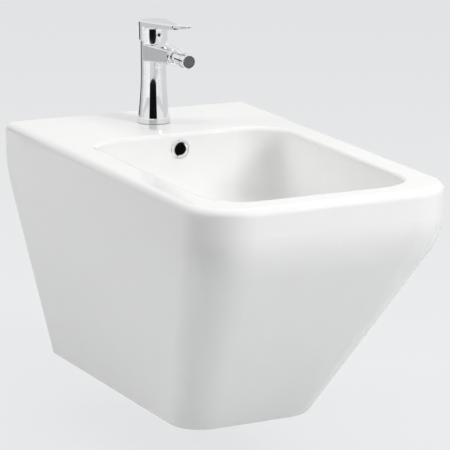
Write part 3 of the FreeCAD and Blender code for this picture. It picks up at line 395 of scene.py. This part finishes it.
def soft_lamp(name, place, aim, size, power):
    """Square soft box that faces a point."""
    lamp = bpy.data.lights.new(name, "AREA")
    lamp.shape = "SQUARE"
    lamp.size = size
    lamp.energy = power
    holder = bpy.data.objects.new(name, lamp)
    holder.location = place
    holder.rotation_mode = "QUATERNION"
    holder.rotation_quaternion = (Vector(aim) - Vector(place)).to_track_quat("-Z", "Y")
    holder.visible_glossy = False
    bpy.context.scene.collection.objects.link(holder)


soft_lamp("key_soft_box", place=(1.10, -2.65, 1.22), aim=(0.0, -0.5, 0.0), size=0.7, power=25.0)
soft_lamp("front_soft_box", place=(0.84, -2.14, 2.03), aim=(0.0, -0.35, 0.05), size=0.9, power=23.0)
soft_lamp("top_soft_box", place=(0.0, -0.35, 2.30), aim=(0.0, -0.3, 0.0), size=2.4, power=32.0)
soft_lamp("side_soft_box", place=(-2.4, 1.0, 1.1), aim=(0.0, -0.3, 0.0), size=1.2, power=26.5)

# Boards: painted boards and lit ones stand round the tap out of sight, where only gloss mirrors them.
# They give the chrome its dark and pale bands and the glaze its thin glints.

board_centre = Vector((0.0, -0.08, 0.0))


def board(name, material, headings, heights, reach):
    """Upright board that only mirrors show, between two headings, in degrees from the front to the left."""
    corners = []
    for heading, levels in zip(headings, (heights, heights[::-1])):
        turn = math.radians(heading)
        foot = board_centre + reach * Vector((-math.sin(turn), -math.cos(turn), 0.0))
        corners.extend(foot + Vector((0.0, 0.0, level)) for level in levels)
    piece = panel(name, corners, material)
    piece.visible_camera = False
    piece.visible_diffuse = False
    piece.visible_shadow = False
    piece.visible_transmission = False
    piece.visible_volume_scatter = False


def board_paint(name, colours, glow):
    """Matt paint with as much white glow of its own as the board needs."""
    return finish(
        name,
        colours=colours,
        roughness=matt_roughness,
        grain_mm=200.0,
        relief_mm=matt_relief_mm,
        IOR=matt_ior,
        **{"Emission Color": linear("FFFFFF"), "Emission Strength": glow},
    )


# Matt black, grey and white paint: flat fields, whose edges are the bands' edges in the chrome.
black_colours = ("060607", "0A0A0B")
black_paint = board_paint("black_board_paint", black_colours, glow=0.0)
grey_paint = board_paint("grey_board_paint", ("C6C6C8", "CACACC"), glow=0.10)
white_paint = board_paint("white_board_paint", ("FAFAFA", "FFFFFF"), glow=0.32)

# Lit cloth over black: a level that owes nothing to the lamps.
silver_light = board_paint("silver_board_light", black_colours, glow=0.66)
pale_light = board_paint("pale_board_light", black_colours, glow=0.74)
glint_light = board_paint("glint_strip_light", black_colours, glow=14.0)

near_reach = 1.2
strip_reach = 2.8
far_reach = 6.0

# The dark band down the tap's body and hub, and the pale fields on both sides of it.
board("front_board", black_paint, headings=(2.0, 57.0), heights=(0.008, 0.36), reach=near_reach)
board("left_board", white_paint, headings=(57.0, 125.0), heights=(-0.30, 0.06), reach=near_reach)
board("right_board", white_paint, headings=(-55.0, 2.0), heights=(-0.30, 0.06), reach=near_reach)

# The lever's edge, the spout's side, the nozzle's streak and the line down the tap's left side.
board("plate_board", silver_light, headings=(125.0, 141.0), heights=(-0.17, 0.12), reach=near_reach)
board("side_board", grey_paint, headings=(141.0, 150.0), heights=(-0.17, 0.12), reach=near_reach)
board("upper_board", black_paint, headings=(146.0, 160.0), heights=(0.07, 0.26), reach=near_reach)
board("rear_board", black_paint, headings=(156.0, 184.0), heights=(-0.17, 0.12), reach=near_reach)

# The lever's top, and the glints on the glaze and the spout.
board("far_board", pale_light, headings=(188.0, 218.0), heights=(0.30, 1.0), reach=far_reach)
board("glint_strip", glint_light, headings=(-33.0, -14.0), heights=(1.16, 1.25), reach=strip_reach)

# Camera: a long lens about 3 m off, at the front left and a little above, fitted to the rim's outline.
# It looks down by about 14 degrees.

camera_eye = Vector((-1.13479, -2.65074, 0.62831))
camera_back = Vector((-0.42127, -0.87529, 0.23749))
camera_data = bpy.data.cameras.new("camera")
camera_data.lens = 175.9
camera_data.sensor_width = 36.0
camera = bpy.data.objects.new("camera", camera_data)
camera.location = camera_eye
camera.rotation_mode = "QUATERNION"
camera.rotation_quaternion = (-camera_back).to_track_quat("-Z", "Y")
bpy.context.scene.collection.objects.link(camera)
bpy.context.scene.camera = camera
bpy.context.scene.view_settings.view_transform = "Standard"
